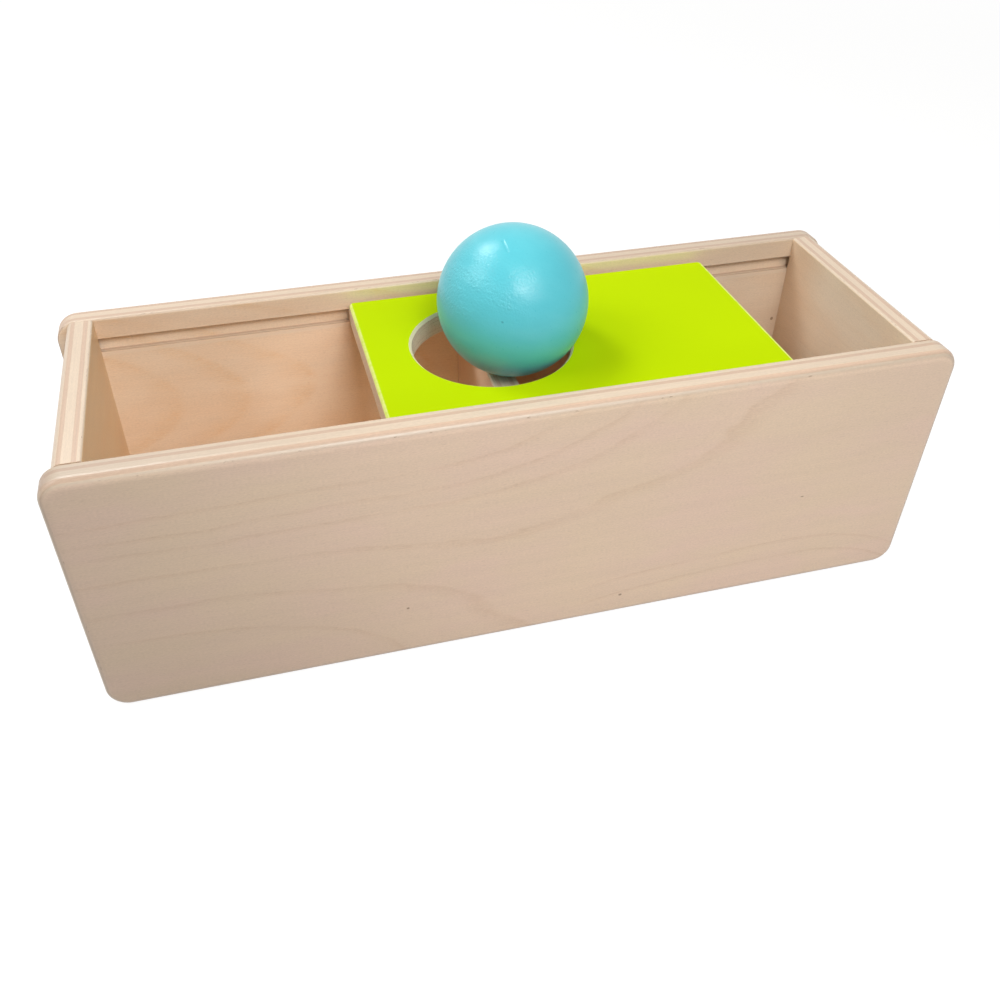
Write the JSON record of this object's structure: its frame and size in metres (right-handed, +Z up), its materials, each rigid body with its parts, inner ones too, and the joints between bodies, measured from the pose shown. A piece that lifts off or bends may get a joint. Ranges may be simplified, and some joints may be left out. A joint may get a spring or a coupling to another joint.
{
  "type": "object permanence box",
  "caption": "Long open plywood toy box with a divider, a short sliding lid with a round hole, and a wooden ball resting in the hole.",
  "frame": {"origin": "bottom centre of the box, on the surface that it stands on", "axes": "+X along the box towards its right end, +Y towards its rear panel, +Z up"},
  "size_m": [0.29, 0.1, 0.1296],
  "materials": {
    "plywood": "satin clear varnish on birch plywood",
    "lime_painted_plywood": "satin lime paint on the top, bare edges",
    "turquoise_painted_wood": "satin turquoise paint",
    "dowel_wood": "bare beech"
  },
  "bodies": {
    "box": {"front_panel": "plywood", "rear_panel": "plywood", "left_end_panel": "plywood", "right_end_panel": "plywood", "floor_panel": "plywood", "centre_divider": "plywood", "left_front_dowels": "dowel_wood", "left_rear_dowels": "dowel_wood", "right_front_dowels": "dowel_wood", "right_rear_dowels": "dowel_wood", "divider_front_dowels": "dowel_wood", "divider_rear_dowels": "dowel_wood"},
    "lid": {"sliding_lid": "lime_painted_plywood"},
    "ball": {"ball": "turquoise_painted_wood"}
  },
  "joints": [
    {"name": "lid_slide", "type": "slide", "parent": "box", "child": "lid", "axis": [1, 0, 0], "range_m": [-0.0866, 0.0399]},
    {"name": "ball_lift", "type": "slide", "parent": "lid", "child": "ball", "axis": [0, 0, 1], "range_m": [0, 0.06]}
  ]
}
